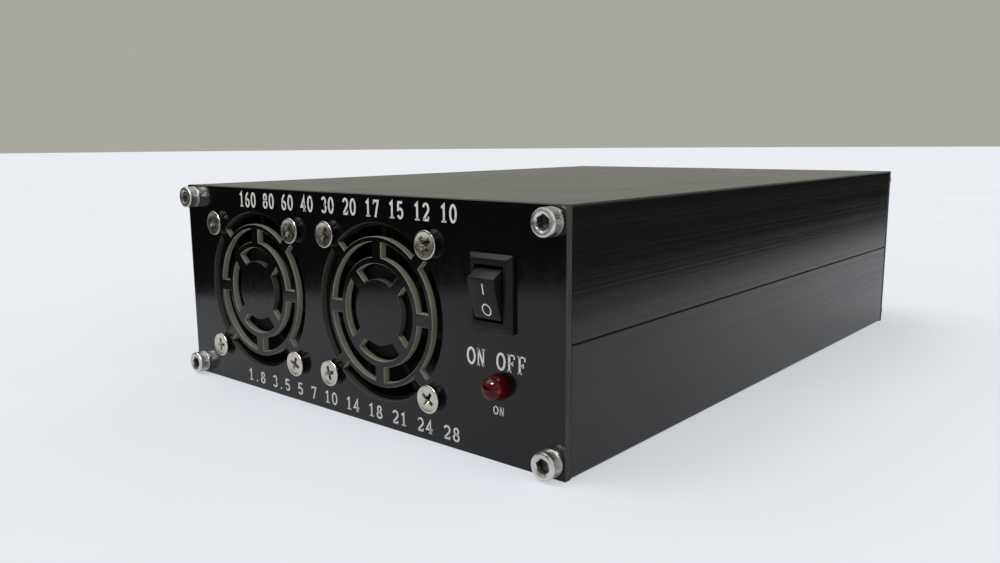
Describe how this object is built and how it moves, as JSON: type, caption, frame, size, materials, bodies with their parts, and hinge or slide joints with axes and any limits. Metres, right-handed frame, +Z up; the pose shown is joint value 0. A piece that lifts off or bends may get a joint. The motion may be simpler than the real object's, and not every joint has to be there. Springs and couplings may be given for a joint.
{
  "type": "hf linear amplifier",
  "caption": "Box-shaped radio power amplifier in a split extruded case, with ring-slot fan grilles, a rocker switch, an indicator lamp and rear sockets.",
  "frame": {"origin": "centre of the underside of the extruded case, on the surface it stands on", "axes": "+X to the right seen from the front, +Y to the back along the case, +Z up"},
  "size_m": [0.125, 0.2012, 0.0508],
  "materials": {
    "black_anodised": "black anodised, satin, fine lengthwise grain",
    "black_board": "black solder mask on glass-fibre board, glossy",
    "stainless": "bright stainless steel",
    "nickel": "nickel plated",
    "fan_plastic": "black moulded plastic",
    "magnet": "dark bonded magnet",
    "shaft_steel": "ground steel",
    "laminations": "stacked steel sheet",
    "copper_wire": "enamelled copper",
    "bronze": "sintered bronze",
    "motor_board": "glass-fibre board",
    "switch_plastic": "black nylon, satin",
    "terminal": "tinned brass",
    "led_red": "red tinted clear epoxy",
    "spacer_plastic": "natural nylon",
    "lead_steel": "tinned steel wire",
    "sink_aluminium": "plain extruded aluminium",
    "green_board": "green solder mask on glass-fibre board",
    "epoxy_black": "black moulding compound",
    "silicone": "grey silicone sheet",
    "ferrite": "grey-black ferrite",
    "core_red": "red coated iron powder",
    "core_yellow": "yellow coated iron powder",
    "end_board": "copper clad glass-fibre board",
    "brass_tube": "brass tube",
    "relay_case": "moulded relay cover",
    "can_sleeve": "sleeved aluminium can",
    "film_capacitor": "dipped mica",
    "trimmer_blue": "blue moulded plastic",
    "trimmer_white": "white moulded plastic",
    "ptfe": "white fluoroplastic",
    "contact": "silver plated brass",
    "gold_contact": "gold plated brass",
    "inlet_plastic": "black glass-filled nylon"
  },
  "bodies": {
    "case": {"lower_shell": "black_anodised", "upper_shell": "black_anodised", "front_panel": "black_board", "rear_panel": "black_board", "front_panel_screws": "stainless", "rear_panel_screws": "stainless", "fan_screws": "nickel", "fan_nuts": "nickel", "left_fan_frame": "fan_plastic", "right_fan_frame": "fan_plastic", "fan_stators": "laminations", "fan_coils": "copper_wire", "fan_bearings": "bronze", "fan_motor_boards": "motor_board", "switch_housing": "switch_plastic", "switch_terminals": "terminal", "led_lens": "led_red", "led_spacer": "spacer_plastic", "led_legs": "lead_steel", "heat_sink": "sink_aluminium", "amplifier_board": "green_board", "rf_transistors": "epoxy_black", "board_spacers": "nickel", "board_screws": "nickel", "transistor_pads": "silicone", "output_transformer_core": "ferrite", "output_transformer_ends": "end_board", "output_transformer_tubes": "brass_tube", "output_transformer_winding": "copper_wire", "input_transformer_core": "ferrite", "input_transformer_winding": "copper_wire", "filter_core": "core_red", "filter_winding": "copper_wire", "choke_core": "core_yellow", "choke_winding": "copper_wire", "relays": "relay_case", "supply_capacitors": "can_sleeve", "filter_capacitors": "film_capacitor", "bias_trimmer_body": "trimmer_blue", "bias_regulator": "epoxy_black", "rf_output_shell": "nickel", "rf_input_shell": "nickel", "rf_socket_insulators": "ptfe", "rf_socket_contacts": "contact", "socket_screws": "nickel", "socket_nuts": "nickel", "key_jack_shell": "nickel", "key_jack_insulator": "spacer_plastic", "key_jack_contact": "contact", "key_jack_nut": "nickel", "dc_inlet_housing": "inlet_plastic", "dc_inlet_pins": "gold_contact"},
    "left_fan": {"left_fan_rotor": "fan_plastic", "left_fan_magnet": "magnet", "left_fan_shaft": "shaft_steel"},
    "right_fan": {"right_fan_rotor": "fan_plastic", "right_fan_magnet": "magnet", "right_fan_shaft": "shaft_steel"},
    "rocker": {"switch_rocker": "switch_plastic"},
    "trimmer_dial": {"bias_trimmer_dial": "trimmer_white"}
  },
  "joints": [
    {"name": "left_fan_spin", "type": "hinge", "parent": "case", "child": "left_fan", "pos_m": [-0.0327, -0.085, 0.0254], "axis": [0, -1, 0], "continuous": true},
    {"name": "right_fan_spin", "type": "hinge", "parent": "case", "child": "right_fan", "pos_m": [0.0123, -0.085, 0.0254], "axis": [0, -1, 0], "continuous": true},
    {"name": "power_rocker", "type": "hinge", "parent": "case", "child": "rocker", "pos_m": [0.0454, -0.0912, 0.0335], "axis": [-1, 0, 0], "range_deg": [0, 30]},
    {"name": "bias_adjust", "type": "hinge", "parent": "case", "child": "trimmer_dial", "pos_m": [0.018, -0.046, 0.025], "axis": [0, 0, 1], "range_deg": [0, 270]}
  ]
}
